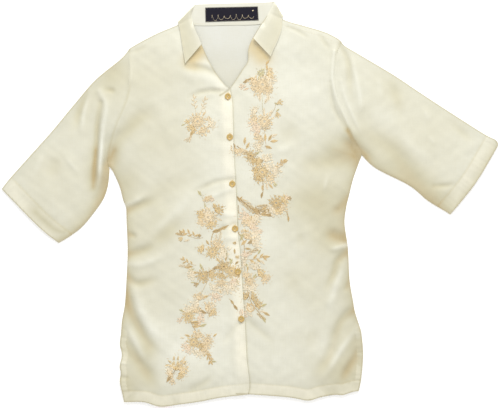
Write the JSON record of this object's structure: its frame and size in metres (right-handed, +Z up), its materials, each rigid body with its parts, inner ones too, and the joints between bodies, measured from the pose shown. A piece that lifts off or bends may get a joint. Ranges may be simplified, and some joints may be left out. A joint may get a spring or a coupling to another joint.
{
  "type": "barong tagalog shirt",
  "caption": "Sheer elbow-sleeve barong blouse laid flat face up, with open pointed collar, buttoned embroidered front, side vents and turned hems.",
  "frame": {"origin": "on the surface the blouse lies on, under the middle of its overall box", "axes": "+Z up out of the surface, +Y from hem to collar, +X from the wearer's right sleeve to the left one"},
  "size_m": [0.8936, 0.728, 0.0098],
  "materials": {
    "jusi_cloth": "sheer ivory jusi with a satin sheen",
    "embroidery": "satin-stitched thread in gold, apricot and cream",
    "woven_label": "dark blue woven damask with gold weft",
    "button": "polished tan horn-look"
  },
  "bodies": {
    "root": {"back_panel": "jusi_cloth", "front_panel_right": "jusi_cloth", "front_panel_left": "jusi_cloth", "sleeve_right": "jusi_cloth", "sleeve_left": "jusi_cloth", "collar_fall": "jusi_cloth", "collar_stand": "jusi_cloth", "neck_label": "woven_label", "button_1": "button", "button_2": "button", "button_3": "button", "button_4": "button", "button_5": "button", "button_6": "button"}
  },
  "joints": []
}
